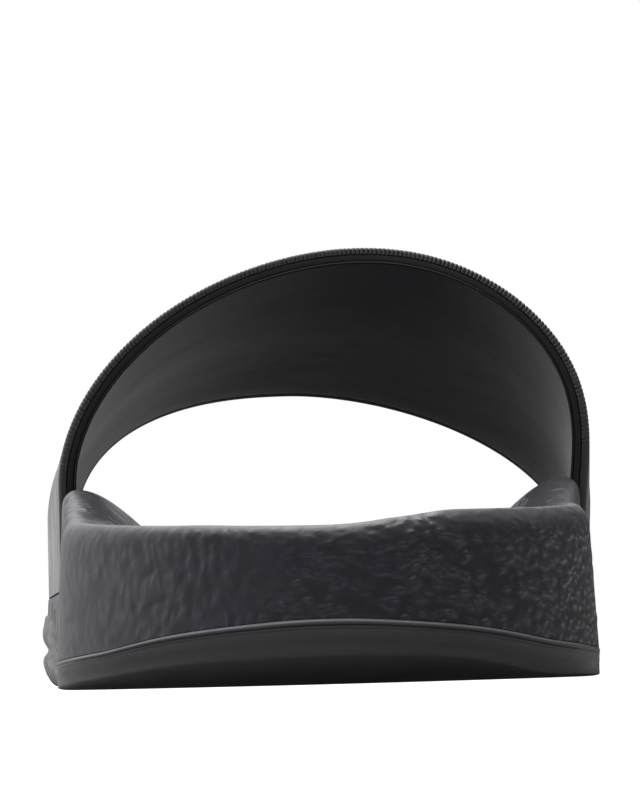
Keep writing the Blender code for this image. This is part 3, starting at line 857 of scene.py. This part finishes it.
def moulded_leather_grain_foam(settings):
    """Injection-moulded EVA foam with a leather grain from the mould.

    The eye sees a dull black skin of shallow, rounded pebbles between fine valleys. They are
    drawn out upwards on the outer half of the heel and lengthwise on the inner half, fade out
    where the heel turns to the outer side, and are fainter on the glossier rim. The valleys are
    painted darker as painted shade, and the rim is painted lighter as a painted highlight.
    """
    material, tree, shader = new_material("moulded_leather_grain_foam", settings.foam, 0.5, 1.48)
    place = object_place(tree)
    # The pebbles: two stretches of one pattern, bent so that no row shows
    bend = noise(tree, place, 4.0 * MM, 1.0, "Color")
    pull = calculate_place(tree, "SUBTRACT", bend, (0.5, 0.5, 0.5))
    pull = calculate_place(tree, "MULTIPLY", pull, (2.2 * MM,) * 3)
    bent = calculate_place(tree, "ADD", place, pull)
    cells = []
    for stretch in ((1.20, 1.20, 0.55), (0.80, 0.90, 1.50)):
        cell = add_node(tree, "ShaderNodeTexVoronoi", {
            "Vector": calculate_place(tree, "MULTIPLY", bent, stretch),
            "Scale": 1.0 / settings.grain, "Randomness": 1.0,
        }, feature="SMOOTH_F1").outputs["Distance"]
        cells.append(map_range(tree, cell, 0.72, 0.02, kind="SMOOTHERSTEP"))
    split = add_node(tree, "ShaderNodeSeparateXYZ", {"Vector": bent})
    inner_half = map_range(tree, split.outputs["X"], -16.0 * MM, 2.0 * MM, kind="SMOOTHSTEP")
    grain = blend(tree, inner_half, *cells)
    # How strong they are: in patches, less on the rim and least at the heel's outer corner
    rim = add_node(tree, "ShaderNodeAttribute", attribute_name="rim_band").outputs["Fac"]
    patch = map_range(tree, noise(tree, place, 9.0 * MM, 2.0), 0.36, 0.64, 0.25, 1.0)
    strong = calculate(tree, "MULTIPLY", patch, map_range(tree, rim, 0.0, 1.0, 1.0, 0.45))
    across = map_range(tree, split.outputs["X"], -34.0 * MM, 20.0 * MM)
    ahead = map_range(tree, split.outputs["Y"], -88.0 * MM, -60.0 * MM, 0.0, 0.8)
    coarse = calculate(tree, "MAXIMUM", across, ahead)
    strong = calculate(tree, "MULTIPLY", strong, coarse)
    # Relief: the skin's fine tooth, the pebbles, and slow swells as wide as two of them
    relief = bump(tree, noise(tree, place, 0.45 * MM, 3.0), 0.5, 0.07 * MM)
    relief = bump(tree, grain, strong, settings.grain_depth, relief)
    swell = map_range(tree, coarse, 0.0, 0.4, 0.15, 0.6)
    relief = bump(tree, noise(tree, bent, 3.2 * MM, 2.0), swell, 0.35 * MM, relief)
    tree.links.new(relief, shader.inputs["Normal"])
    # Tops of pebbles are glossier than the valleys. The valleys are painted darker, a painted shade
    # that is darkest where the grain is coarse, and the rim is painted lighter, a painted highlight
    grain = blend(tree, map_range(tree, coarse, 0.0, 0.35, 0.10, 1.0), 0.35, grain)
    gloss = blend(tree, rim, map_range(tree, grain, 0.0, 1.0, 0.66, 0.37), 0.31)
    tree.links.new(gloss, shader.inputs["Roughness"])
    # Painted shade: the valleys' colours are darker shares of the foam, darkest where the grain is
    # coarse
    valley, deep_valley_shade = ([channel * share for channel in settings.foam] for share in (0.55, 0.22))
    tint = blend_colours(tree, coarse, (*valley, 1.0), (*deep_valley_shade, 1.0))
    tint = blend_colours(tree, grain, tint, (*settings.foam, 1.0))
    # Painted highlight: the rim and the edge of the bed are painted in the lighter rim colour
    tint = blend_colours(tree, rim, tint, (*settings.rim, 1.0))
    tree.links.new(tint, shader.inputs["Base Color"])
    return material


def moulded_rubber(settings):
    """Compression-moulded rubber: satin and even, with faint flow marks and a fine tread.

    The lip's edge is glossier, and is painted lighter as a painted highlight that reads as a thin
    bright line.
    """
    material, tree, shader = new_material("moulded_rubber", settings.rubber, 0.52, 1.46)
    place = object_place(tree)
    # Fine tread: low straight ridges on the faces that look straight down
    normal = add_node(tree, "ShaderNodeNewGeometry").outputs["True Normal"]
    normal = add_node(tree, "ShaderNodeSeparateXYZ", {"Vector": normal})
    down = map_range(tree, normal.outputs["Z"], -0.95, -0.99)
    tread = add_node(tree, "ShaderNodeTexWave", {
        "Vector": place, "Scale": 1.0 / (22.0 * MM), "Distortion": 0.0,
    }, wave_type="BANDS", bands_direction="DIAGONAL", wave_profile="TRI").outputs["Fac"]
    relief = bump(tree, calculate(tree, "MULTIPLY", tread, down), 1.0, 0.5 * MM)
    # Skin, and flow marks that run level round the sole
    relief = bump(tree, noise(tree, place, 0.45 * MM, 1.0), 0.25, 0.05 * MM, relief)
    flow = calculate_place(tree, "MULTIPLY", place, (0.25, 0.25, 1.6))
    marks = noise(tree, flow, 2.2 * MM, 3.0)
    relief = bump(tree, marks, 0.6, 0.20 * MM, relief)
    tree.links.new(relief, shader.inputs["Normal"])
    line = add_node(tree, "ShaderNodeAttribute", attribute_name="lip_line").outputs["Fac"]
    gloss = blend(tree, line, map_range(tree, marks, 0.25, 0.75, 0.44, 0.62), 0.30)
    tree.links.new(gloss, shader.inputs["Roughness"])
    # Painted highlight: the lip's edge is painted lighter than the rubber
    tint = blend_colours(tree, line, (*settings.rubber, 1.0), (*settings.lip, 1.0))
    tree.links.new(tint, shader.inputs["Base Color"])
    return material


def pressed_ribbed_cover(settings):
    """Polyurethane film heat-pressed into ribs: satin crests that catch the light."""
    material, tree, shader = new_material(
        "pressed_ribbed_cover", settings.cover_colour, 0.42, 1.48)
    place = object_place(tree)
    relief = bump(tree, noise(tree, place, 0.35 * MM, 2.0), 0.4, 0.05 * MM)
    tree.links.new(relief, shader.inputs["Normal"])
    gloss = map_range(tree, noise(tree, place, 9.0 * MM, 2.0), 0.3, 0.7, 0.38, 0.48)
    tree.links.new(gloss, shader.inputs["Roughness"])
    return material


def die_cut_foam_core(settings):
    """Die-cut sponge core, dyed and sealed at its edge: a deep, matt black line."""
    material, tree, shader = new_material("die_cut_foam_core", settings.core_colour, 0.72, 1.45)
    relief = bump(tree, noise(tree, object_place(tree), 0.3 * MM, 2.0), 0.5, 0.06 * MM)
    tree.links.new(relief, shader.inputs["Normal"])
    return material


def coated_synthetic_lining(settings):
    """Coated synthetic lining: smooth and close, with a low sheen at grazing angles."""
    material, tree, shader = new_material(
        "coated_synthetic_lining", settings.lining_colour, 0.50, 1.33)
    place = object_place(tree)
    relief = bump(tree, noise(tree, place, 0.4 * MM, 2.0), 0.3, 0.05 * MM)
    relief = bump(tree, noise(tree, place, 14.0 * MM, 2.0), 0.4, 0.6 * MM, relief)
    tree.links.new(relief, shader.inputs["Normal"])
    return material


def crease_field(distance, height, creases):
    """How deep the creases lie at places along the wall and above the floor, in metres.

    Each is a slightly bowed trough that fades at its ends, with a low ridge on either side.
    """
    field = np.zeros_like(distance)
    for along, up, length, turn, depth, width in creases:
        ahead = distance / MM - along
        above = height / MM - up
        near = (np.abs(ahead) < length) & (np.abs(above) < length)
        if not near.any():
            continue
        angle = math.radians(turn)
        run = ahead[near] * math.cos(angle) + above[near] * math.sin(angle)
        off = above[near] * math.cos(angle) - ahead[near] * math.sin(angle)
        off = off + 0.10 * length * np.sin(run * math.pi / length * 1.4)
        fade = np.clip(1.0 - (2.0 * run / length) ** 2, 0.0, 1.0)
        trough = np.exp(-(off / (0.6 * width)) ** 2)
        ridge = np.exp(-((np.abs(off) - 1.5 * width) / (0.8 * width)) ** 2)
        field[near] += depth * MM * fade * (trough - 0.45 * ridge)
    return field


def side_creases():
    """Creases scattered along the two sides by a fixed draw."""
    draw = np.random.default_rng(21)
    rows = []
    for side in (-1.0, 1.0):
        for _ in range(SIDE_CREASE_COUNT):
            along, *rest = [draw.uniform(*limits) for limits in SIDE_CREASES.values()]
            rows.append((side * along, *rest))
    return rows


def strap_depth(stations, sides, heights):
    """How far in from the sole's edge the back of the strap lies at a height."""
    row = np.clip((stations - STRAP_REAR_FOOT) / (STRAP_FRONT_FOOT - STRAP_REAR_FOOT), 0.0, 1.0)
    top = STRAP_FOOT_HEIGHT + INSTEP_RISE * read(STRAP, 2, row)
    spring = STRAP_FOOT_HEIGHT + INSTEP_RISE * read(STRAP, 3, row)
    full = np.where(sides < 0, read(STRAP, 4, row), read(STRAP, 5, row))
    crown = BALL_WIDTH * read(STRAP, 1, row)
    reach = np.abs(side_x(stations, sides) - crown)
    share = np.clip((heights - spring) / (top - spring), 0.0, 1.0)
    lean = reach * (1.0 - (1.0 - share ** full) ** (1.0 / full))
    return STRAP_INSET + STRAP_WALL + GAP + lean


def footbed_data(settings):
    """The moulded body: grained wall, rounded rim, dished bed and a recess for each foot."""
    margin = GAP / SOLE_LENGTH
    sliver = 0.05 * MM / SOLE_LENGTH
    rear = STRAP_REAR_FOOT - margin
    front = STRAP_FRONT_FOOT + margin
    plan = Plan(FOOTBED_POINTS, (rear - sliver, rear, front, front + sliver))
    stations, sides, ones = plan.stations, plan.sides, np.ones(len(plan.stations))
    held = (stations >= rear - sliver / 2) & (stations <= front + sliver / 2)

    def behind_strap(depths, heights):
        """The depths, pushed in behind the strap where its feet stand."""
        return np.where(held, np.maximum(depths, strap_depth(stations, sides, heights)), depths)

    floor = TREAD_THICKNESS + GAP
    lips = lip_height(stations) + 0.02 * MM
    inner = HEEL_BEVEL + CUP_WALL + CUP_DRAFT + GAP
    rings = [plan.core(inner, share, floor, True) for share in (0.0, 0.5, 1.0)]
    deep = CUP_WALL + CUP_DRAFT + HEEL_WEDGE * heel_share(stations) + 2.0 * GAP
    rings.append(plan.ring(deep, floor, True))
    rings.append(plan.ring(CUP_WALL + GAP, lips, True))
    rings.append(plan.ring(GAP, lips, True))
    bands = [0.0 * ones for _ in rings]

    feet = lips + arch_lift(plan.places[:, 1])
    rims = rim_height(stations, sides)
    inward = smooth(*INNER_SIDE, plan.places[:, 0])
    at_heel = 1.0 - smooth(*HEEL_ROUND_END, stations)
    corner = (1.0 - smooth(*OUTER_CORNER, plan.places[:, 0])) * at_heel
    rounds = RIM_ROUND + (CORNER_ROUND_GAIN * (inward + corner) - HEEL_ROUND_LOSS) * at_heel
    tops = rims - rounds
    ledge = np.where(held, STRAP_FOOT_HEIGHT - GAP, feet + (tops - feet) * WALL_SPLIT)
    rows = [feet + (ledge - feet) * share for share in np.linspace(0.02, 1.0, LOWER_WALL_RINGS)]
    rows += [ledge + (tops - ledge) * share
             for share in np.linspace(0.002, 1.0, UPPER_WALL_RINGS)]
    creases = HEEL_CREASES + tuple(side_creases())
    for heights in rows:
        share = (heights - feet) / (tops - feet)
        dents = crease_field(plan.distance, heights, creases) * settings.crease_scale
        depths = WALL_FLARE * share + dents * smooth(0.0, 0.08, share)
        sunk = held & (heights > STRAP_FOOT_HEIGHT - GAP + 0.01 * MM)
        depths = np.where(sunk, strap_depth(stations, sides, heights), depths)
        rings.append(plan.ring(depths, heights, False))
        bands.append(0.0 * ones)
    for turn in np.linspace(0.0, math.pi / 2.0, ROUNDING_RINGS)[1:]:
        heights = rims - rounds * (1.0 - math.sin(turn))
        depths = WALL_FLARE + RIM_CREST * (1.0 - math.cos(turn)) * ones
        dents = crease_field(plan.distance, heights, creases) * math.cos(turn)
        depths = behind_strap(depths + dents * settings.crease_scale, heights)
        rings.append(plan.ring(depths, heights, False))
        share = 2.0 * turn / math.pi
        early, late = float(smooth(*INNER_SKIN_AND_HIGHLIGHT, share)), float(smooth(*OUTER_SKIN_AND_HIGHLIGHT, share))
        # How far the rim is smoother and painted lighter as a painted highlight
        bands.append((late + (early - late) * inward) * (1.0 - CORNER_SKIN_AND_HIGHLIGHT_LOSS * corner))
    crest = WALL_FLARE + RIM_CREST
    for share in np.linspace(0.0, 1.0, SLOPE_RINGS)[1:]:
        depth = DISH_REACH * share
        heights = bed_height(stations, sides, depth)
        depths = behind_strap((crest + depth) * ones, heights)
        rings.append(plan.ring(depths, heights, False))
        bands.append(ones * (1.0 - (1.0 - BED_SKIN_AND_HIGHLIGHT) * float(smooth(0.3, 1.0, share))))
    inner = crest + DISH_REACH
    halves = np.linalg.norm(plan.places - plan.normals * inner - plan.spine, axis=1)
    for share in np.linspace(1.0, 0.0, MIDDLE_RINGS)[1:]:
        depths = DISH_REACH + halves * (1.0 - share)
        heights = bed_height(stations, sides, depths)
        if share == 0.0:
            heights = BED_HEIGHT * read(BED, 1, plan.spine[:, 1] / SOLE_LENGTH)
        rings.append(plan.core(inner, share, heights, False))
        bands.append(BED_SKIN_AND_HIGHLIGHT * ones)
    return ring_mesh("footbed_body", rings, {"rim_band": np.array(bands)})


def outsole_data():
    """The tread unit: bevelled heel, fine lip, ribbed forefoot side and a shallow cup."""
    plan = Plan(OUTSOLE_POINTS)
    ones = np.ones(len(plan.stations))
    heel = heel_share(plan.stations)
    ribs = read(LIP, 3, plan.stations)
    lips = lip_height(plan.stations)
    edge = (1.0 - ribs) * (1.0 - LIP_LOSS * smooth(*LIP_NARROWS, plan.stations))
    inner = HEEL_BEVEL + CUP_WALL + CUP_DRAFT
    rings = [plan.core(inner, share, 0.0, True) for share in (0.0, 0.35, 0.7, 1.0)]
    lines = [0.0 * ones for _ in rings]
    inward = smooth(-20.0 * MM, 20.0 * MM, plan.places[:, 0])
    sunk = smooth(*RIDGE_SINKS, plan.stations * (SINK_RATE + SINK_RATE * inward))
    low = 1.0 - RIDGE_SINK * sunk * (1.0 - smooth(*RIDGE_RISES, plan.stations))
    for height, long_bevel, bevel, rib, lip in OUTSOLE_SIDE:
        under = np.minimum(height / RIDGE, 1.0) * RIDGE * low
        over = max(height - RIDGE, 0.0) / (1.0 - RIDGE) * (1.0 - RIDGE * low)
        depths = HEEL_BEVEL * long_bevel * heel + SIDE_BEVEL * bevel * (1.0 - heel)
        depths = depths - RIB_PROUD * rib * ribs - LIP_PROUD * lip * edge
        rings.append(plan.ring(depths, lips * (under + over), True))
        # Where the lip's edge is glossier and painted lighter as a painted highlight
        lines.append(float(smooth(*LIP_HIGHLIGHT_RUN, height)) * edge)
    rings.append(plan.ring(CUP_WALL, lips, True))
    rings.append(plan.ring(CUP_WALL + CUP_DRAFT + HEEL_WEDGE * heel, TREAD_THICKNESS, True))
    rings += [plan.core(inner, share, TREAD_THICKNESS, True) for share in (1.0, 0.5, 0.0)]
    lines += [0.0 * ones for _ in range(5)]
    return ring_mesh("outsole_unit", rings, {"lip_line": np.array(lines)})


def groove_boxes():
    """Middle, size and turn of every groove in the two treads."""
    boxes = []
    for start, end in (HEEL_TREAD, TOE_TREAD):
        count = int((end - start) * SOLE_LENGTH / GROOVE_PITCH)
        step = (end - start) / count
        for index in range(1, count):
            along = start + step * index
            centre = BALL_WIDTH * float(read(PLAN, 1, along))
            for side in (-1.0, 1.0):
                start_x = (GROOVE_WIDTH + RIB_WIDTH) / 2.0
                length = abs(float(side_x(along, side)) - centre) - GROOVE_MARGIN - start_x
                x = centre + side * (start_x + length / 2.0)
                y = along * SOLE_LENGTH + abs(x - centre) * math.tan(GROOVE_SWEEP)
                boxes.append(((x, y), (length, GROOVE_WIDTH), side * GROOVE_SWEEP))
        middle = (start + end) / 2.0
        run = (end - start) * SOLE_LENGTH - GROOVE_PITCH
        x = BALL_WIDTH * float(read(PLAN, 1, middle))
        boxes.append(((x, middle * SOLE_LENGTH), (GROOVE_WIDTH, run), 0.0))
    return boxes


def cut_grooves(item):
    """Cut the grooves that leave the lugs."""
    shape = bmesh.new()
    for (x, y), (width, length), turn in groove_boxes():
        spot = Matrix.Translation((x + SHIFT[0], y + SHIFT[1], 0.0)) @ Matrix.Rotation(turn, 4, "Z")
        size = Matrix.Diagonal((width, length, 2.0 * GROOVE_DEPTH, 1.0))
        bmesh.ops.create_cube(shape, size=1.0, matrix=spot @ size)
    data = bpy.data.meshes.new("grooves")
    shape.to_mesh(data)
    shape.free()
    cutter = bpy.data.objects.new("grooves", data)
    bpy.context.scene.collection.objects.link(cutter)
    cut = item.modifiers.new("grooves", "BOOLEAN")
    cut.operation = "DIFFERENCE"
    cut.solver = "EXACT"
    cut.object = cutter
    bpy.context.view_layer.update()
    seen = item.evaluated_get(bpy.context.evaluated_depsgraph_get())
    result = bpy.data.meshes.new_from_object(seen)
    item.modifiers.clear()
    item.data = result
    bpy.data.objects.remove(cutter)


class SANDAL_OT_footbed(bpy.types.Operator):
    """Build the moulded footbed with its grained wall"""

    bl_idname = "sandal.footbed"
    bl_label = "Footbed"

    def execute(self, context):
        settings = context.scene.sandal_sole
        material = moulded_leather_grain_foam(settings)
        piece("footbed_body", footbed_data(settings), material, "footbed")
        return {"FINISHED"}


class SANDAL_OT_outsole(bpy.types.Operator):
    """Build the outsole with its lip, ribs and tread"""

    bl_idname = "sandal.outsole"
    bl_label = "Outsole"

    def execute(self, context):
        material = moulded_rubber(context.scene.sandal_sole)
        unit = piece("outsole_unit", outsole_data(), material, "outsole")
        cut_grooves(unit)
        unit.data.shade_smooth()
        unit.data.set_sharp_from_angle(angle=TREAD_CRISP_ANGLE)
        return {"FINISHED"}


class SANDAL_OT_strap(bpy.types.Operator):
    """Build the band's three layers: ribbed cover, core and lining"""

    bl_idname = "sandal.strap"
    bl_label = "Strap"

    def execute(self, context):
        settings = context.scene.sandal_strap
        self.build_cover(settings)
        self.build_core(settings)
        self.build_lining(settings)
        return {"FINISHED"}

    def build_cover(self, settings):
        """The outer layer, pressed into ribs that run from the heel side to the toe side."""
        count = int(round(Band(3).length[0] / settings.rib_pitch))
        band = Band(count * COLUMNS_A_RIB + 1)
        steps, between, back = COVER_ROWS
        places, reach = edge_places(band.widths, steps, between)
        columns = np.arange(len(band.shares))
        phase = (columns / COLUMNS_A_RIB * 2.0 + 1.0) % 2.0 - 1.0
        feet = np.minimum(band.shares, 1.0 - band.shares) * band.length[0]
        draw = np.random.default_rng(5).uniform(*RIB_DIFFERENCE, count + 1)
        fade = smooth(*RIB_FADE, feet) * draw[columns // COLUMNS_A_RIB]
        valley = settings.rib_depth * fade * (1.0 - np.sqrt(1.0 - RIB_ROUNDNESS * phase ** 2))
        nick = np.clip(1.0 - reach / NICK_REACH, 0.0, 1.0) * valley[:, None] * NICK_DEPTH
        rear = places < band.widths[:, None] / 2.0
        outer = rounding(reach, COVER_ROUND) + valley[:, None]
        inner = np.full_like(outer, settings.cover) - 0.1 * rounding(reach, COVER_ROUND)
        outer = np.minimum(outer, inner - COVER_LEAST)
        places = places + np.where(rear, nick, -nick)
        data = layer_mesh("strap_cover", band, places, outer, back, inner)
        piece("strap_cover", data, pressed_ribbed_cover(settings), "strap")

    def build_core(self, settings):
        """The middle layer, whose sealed edge shows as a black line."""
        band = Band(CORE_COLUMNS)
        steps, between, back = CORE_ROWS
        places, reach = edge_places(band.widths, steps, between)
        round_off = rounding(reach - steps[0] * MM, CORE_ROUND)
        outer = settings.cover + LAYER_CLEARANCE + round_off
        inner = STRAP_WALL - settings.lining - round_off
        data = layer_mesh("strap_core", band, places, outer, back, inner)
        piece("strap_core", data, die_cut_foam_core(settings), "strap")

    def build_lining(self, settings):
        """The inner layer, with rounded edges and a low seam near its front edge."""
        band = Band(LINING_COLUMNS)
        steps, between, back = LINING_ROWS
        places, reach = edge_places(band.widths, steps, between)
        front = band.widths[:, None] - places
        seam = SEAM_HEIGHT * np.exp(-((front - SEAM_PLACE) / SEAM_WIDTH) ** 2)
        round_off = rounding(reach, LINING_ROUND)
        outer = STRAP_WALL - settings.lining + LAYER_CLEARANCE + round_off
        inner = STRAP_WALL - round_off - seam
        data = layer_mesh("strap_lining", band, places, inner, back, outer)
        piece("strap_lining", data, coated_synthetic_lining(settings), "strap")


class SANDAL_OT_stage(bpy.types.Operator):
    """Build the pale floor, the soft lights and the camera"""

    bl_idname = "sandal.stage"
    bl_label = "Stage"

    def execute(self, context):
        settings = context.scene.sandal_stage
        self.build_floor(settings)
        self.build_world(context.scene)
        for name, spot, width in LIGHTS:
            light = bpy.data.lights.new(name + "_light", "AREA")
            light.shape = "SQUARE"
            light.size = width
            light.energy = getattr(settings, name)
            lamp = bpy.data.objects.new(name + "_light", light)
            lamp.location = spot
            way = Vector(LIT_PLACE) - Vector(spot)
            lamp.rotation_euler = way.to_track_quat("-Z", "Y").to_euler()
            lamp.visible_camera = False
            context.scene.collection.objects.link(lamp)
        self.build_camera(context.scene)
        return {"FINISHED"}

    def build_floor(self, settings):
        """A round, pale floor that the camera sees as white paper."""
        data = bpy.data.meshes.new("floor")
        shape = bmesh.new()
        bmesh.ops.create_circle(shape, cap_ends=True, segments=96, radius=settings.floor_size)
        shape.to_mesh(data)
        shape.free()
        floor = bpy.data.objects.new("floor", data)
        bpy.context.scene.collection.objects.link(floor)
        material, tree, shader = new_material("matt_floor_paint", settings.floor_colour, 0.9)
        seen = add_node(tree, "ShaderNodeLightPath").outputs["Is Camera Ray"]
        shader.inputs["Emission Color"].default_value = (1.0, 1.0, 1.0, 1.0)
        glow = map_range(tree, seen, 0.0, 1.0, FLOOR_GLOW, 1.0)
        tree.links.new(glow, shader.inputs["Emission Strength"])
        data.materials.append(material)

    def build_world(self, scene):
        """Soft light from all round, brighter overhead, beyond the toes and on the outer side."""
        world = bpy.data.worlds.new("studio")
        world.use_nodes = True
        tree = world.node_tree
        way = add_node(tree, "ShaderNodeTexCoord").outputs["Generated"]
        split = add_node(tree, "ShaderNodeSeparateXYZ", {"Vector": way})
        toes, outer, overhead, inner = (
            map_range(tree, split.outputs[axis], start, full, kind="SMOOTHSTEP")
            for axis, start, full in (
                ("Y", -0.1, 1.0), ("X", 0.0, -1.0), ("Z", 0.1, 1.0), ("X", 0.30, 0.00)))
        shade = map_range(tree, inner, 0.0, 1.0, INNER_SHARE, 1.0)
        level = calculate(tree, "MULTIPLY", toes, shade)
        level = calculate(tree, "MULTIPLY_ADD", level, TOE_GLOW, BASE_GLOW)
        level = calculate(tree, "MULTIPLY_ADD", outer, OUTER_GLOW, level)
        level = calculate(tree, "MULTIPLY_ADD", overhead, SKY_GLOW, level)
        seen = add_node(tree, "ShaderNodeLightPath").outputs["Is Camera Ray"]
        back = tree.nodes["Background"]
        back.inputs["Color"].default_value = (1.0, 1.0, 1.0, 1.0)
        tree.links.new(blend(tree, seen, level, 1.0), back.inputs["Strength"])
        scene.world = world
        scene.view_settings.view_transform = "Standard"
        scene.view_settings.look = "None"

    def build_camera(self, scene):
        """The photograph's view of the heel, low over the floor, framed on the one sandal."""
        data = bpy.data.cameras.new("camera")
        data.lens = FOCAL_PIXELS * data.sensor_width / IMAGE_HEIGHT
        data.clip_start = 0.01
        data.clip_end = 20.0
        camera = bpy.data.objects.new("camera", data)
        spot = Vector((CAMERA_SIDE, SHIFT[1] - CAMERA_BACK, CAMERA_HEIGHT))
        pitch = math.atan2(AIM_HEIGHT - CAMERA_HEIGHT, CAMERA_BACK)
        turn = Euler((math.pi / 2.0 + pitch, 0.0, 0.0)).to_matrix().to_4x4()
        camera.matrix_world = Matrix.Translation(spot) @ turn @ Matrix.Rotation(CAMERA_ROLL, 4, "Z")
        scene.collection.objects.link(camera)
        scene.camera = camera


class SANDAL_PT_panel(bpy.types.Panel):
    """Sizes, colours and steps of the sandal"""

    bl_idname = "SANDAL_PT_panel"
    bl_label = "Slide Sandal"
    bl_space_type = "VIEW_3D"
    bl_region_type = "UI"
    bl_category = "Sandal"

    def draw(self, context):
        for settings, steps in (
            (context.scene.sandal_sole, ("sandal.footbed", "sandal.outsole")),
            (context.scene.sandal_strap, ("sandal.strap",)),
            (context.scene.sandal_stage, ("sandal.stage",)),
        ):
            box = self.layout.box()
            for name in settings.__annotations__:
                box.prop(settings, name)
            for step in steps:
                box.operator(step)


SETTINGS = {
    "sandal_sole": SoleSettings,
    "sandal_strap": StrapSettings,
    "sandal_stage": StageSettings,
}
CLASSES = (
    *SETTINGS.values(),
    SANDAL_OT_footbed,
    SANDAL_OT_outsole,
    SANDAL_OT_strap,
    SANDAL_OT_stage,
    SANDAL_PT_panel,
)
SHIFT = frame_shift()


def register():
    """Register the classes and hang their settings on the scene."""
    for item in CLASSES:
        bpy.utils.register_class(item)
    for name, group in SETTINGS.items():
        setattr(bpy.types.Scene, name, PointerProperty(type=group))


def unregister():
    """Take the settings and the classes away again."""
    for name in SETTINGS:
        delattr(bpy.types.Scene, name)
    for item in reversed(CLASSES):
        bpy.utils.unregister_class(item)


def clear_scene():
    """Remove what a new file holds besides the frame."""
    for item in list(bpy.data.objects):
        if item.name in ("Cube", "Light", "Camera"):
            bpy.data.objects.remove(item, do_unlink=True)


def main():
    """Build the sandal and its stage."""
    register()
    clear_scene()
    bpy.ops.sandal.footbed()
    bpy.ops.sandal.outsole()
    bpy.ops.sandal.strap()
    bpy.ops.sandal.stage()
    bpy.context.view_layer.update()


if __name__ == "__main__":
    main()
